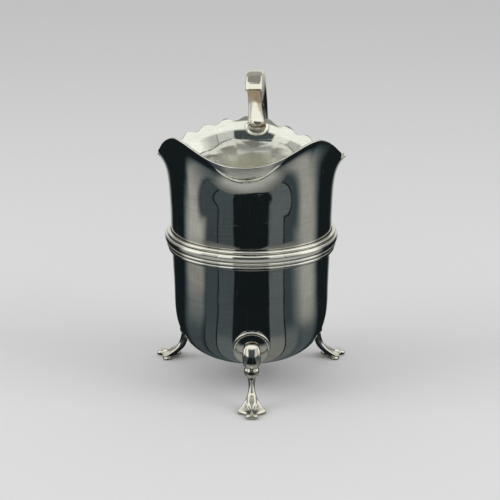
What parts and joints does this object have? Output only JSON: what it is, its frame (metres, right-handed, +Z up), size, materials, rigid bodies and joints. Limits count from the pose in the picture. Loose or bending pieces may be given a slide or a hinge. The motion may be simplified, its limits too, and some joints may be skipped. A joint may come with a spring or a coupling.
{
  "type": "silver cream jug",
  "caption": "Small footed cream jug with a drawn-out lip, scalloped rim, reeded girdle, cast legs and a high scroll handle.",
  "frame": {"origin": "on the surface that the feet stand on, under the middle of the jug's overall box", "axes": "+Z up, -Y towards the lip, +Y towards the handle, +X to the right when the lip faces the viewer"},
  "size_m": [0.0728, 0.1088, 0.1075],
  "materials": {
    "raised_silver": "old polish with fine scratches",
    "wire_silver": "polished reeds, darker grooves",
    "cast_silver": "worn cast surface, warm tarnish in the hollows",
    "plate_silver": "polished field with a bright bead"
  },
  "bodies": {
    "root": {"body_shell": "raised_silver", "girdle_wire": "wire_silver", "handle_scroll": "cast_silver", "handle_strap": "cast_silver", "handle_tongue": "plate_silver", "handle_lower_plate": "plate_silver", "knee_plate_front": "plate_silver", "knee_plate_right": "plate_silver", "knee_plate_left": "plate_silver", "leg_front": "cast_silver", "leg_right": "cast_silver", "leg_left": "cast_silver"}
  },
  "joints": []
}
